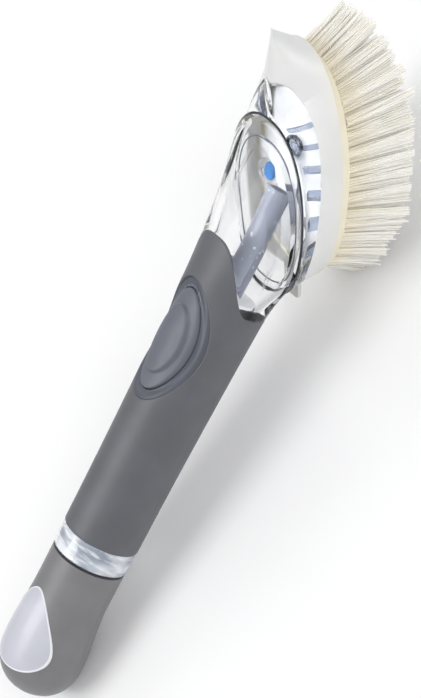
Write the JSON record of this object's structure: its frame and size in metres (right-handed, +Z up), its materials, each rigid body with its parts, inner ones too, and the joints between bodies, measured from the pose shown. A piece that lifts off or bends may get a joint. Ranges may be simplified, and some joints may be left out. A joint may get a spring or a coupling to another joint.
{
  "type": "dish wand",
  "caption": "Soap dispensing dish brush: clear handle that holds soap, push button pump, screw end cap and a pull-off bristle head with a scraper tip.",
  "frame": {"origin": "on the table, under the middle of the box round the wand as it rests on its end cap and on the tips of the heel bristles", "axes": "+X along the wand towards the brush head, as it lies; +Y across, +Z up; the handle rises towards the head and its button is on top"},
  "size_m": [0.2781, 0.0572, 0.093],
  "materials": {
    "clear_plastic": "clear, glossy moulded plastic",
    "clear_inner_plastic": "clear, slightly frosted moulded plastic",
    "grip_rubber": "charcoal soft-touch rubber, satin",
    "bezel_plastic": "dark blue-grey plastic, satin",
    "button_plastic": "mid grey plastic, satin",
    "cap_plastic": "warm grey plastic, fine satin",
    "inlay_plastic": "pearl grey plastic with a white rim",
    "liner_plastic": "pale grey plastic",
    "dark_rubber": "black rubber",
    "duct_plastic": "blue-grey plastic",
    "blue_rubber": "bright blue rubber",
    "pale_rubber": "pale silicone rubber",
    "hood_plastic": "off-white plastic, satin gloss",
    "plate_plastic": "cream plastic",
    "bristle_nylon": "warm white nylon strands",
    "tab_plastic": "pale grey plastic"
  },
  "bodies": {
    "handle": {"reservoir": "clear_plastic", "bulkhead": "clear_inner_plastic", "inlet_valve": "pale_rubber", "grip_sleeve": "grip_rubber", "button_bezel": "bezel_plastic", "pump_cup": "clear_inner_plastic", "pump_bellows": "pale_rubber", "soap_duct": "duct_plastic", "nose_shell": "clear_plastic", "nose_deck": "clear_inner_plastic", "valve_chamber": "clear_inner_plastic", "valve_seat": "duct_plastic", "outlet_valve": "blue_rubber", "nose_seal": "dark_rubber", "band_ring": "dark_rubber"},
    "button": {"button": "button_plastic"},
    "washer": {"cap_washer": "dark_rubber"},
    "cap": {"end_cap": "cap_plastic", "cap_inlay": "inlay_plastic", "cap_liner": "liner_plastic"},
    "head": {"head_body": "clear_plastic", "head_hood": "hood_plastic", "bristle_plate": "plate_plastic", "soap_nozzle": "clear_inner_plastic", "bristles_toe": "bristle_nylon", "bristles_front": "bristle_nylon", "bristles_middle": "bristle_nylon", "bristles_back": "bristle_nylon", "bristles_heel": "bristle_nylon"},
    "release_tab": {"release_tab": "tab_plastic"}
  },
  "joints": [
    {"name": "button_press", "type": "slide", "parent": "handle", "child": "button", "axis": [0.1603, 0, -0.9871], "range_m": [0, 0.003], "stiffness_N_per_m": 400, "deforming": ["pump_bellows"]},
    {"name": "cap_travel", "type": "slide", "parent": "handle", "child": "washer", "axis": [-0.9871, 0, -0.1603], "range_m": [0, 0.0045]},
    {"name": "cap_turn", "type": "hinge", "parent": "washer", "child": "cap", "pos_m": [-0.09437, 0, 0.02178], "axis": [-0.9871, 0, -0.1603], "range_deg": [0, 540]},
    {"name": "head_release", "type": "slide", "parent": "handle", "child": "head", "axis": [0.9871, 0, 0.1603], "range_m": [0, 0.03]},
    {"name": "tab_flex", "type": "hinge", "parent": "head", "child": "release_tab", "pos_m": [0.05069, 0, 0.0241], "axis": [0, 1, 0], "range_deg": [-4, 0], "stiffness_Nm_per_rad": 0.2}
  ],
  "couplings": [
    {"joint": "cap_travel", "follows": "cap_turn", "m_per_rad": 0.00047746}
  ]
}
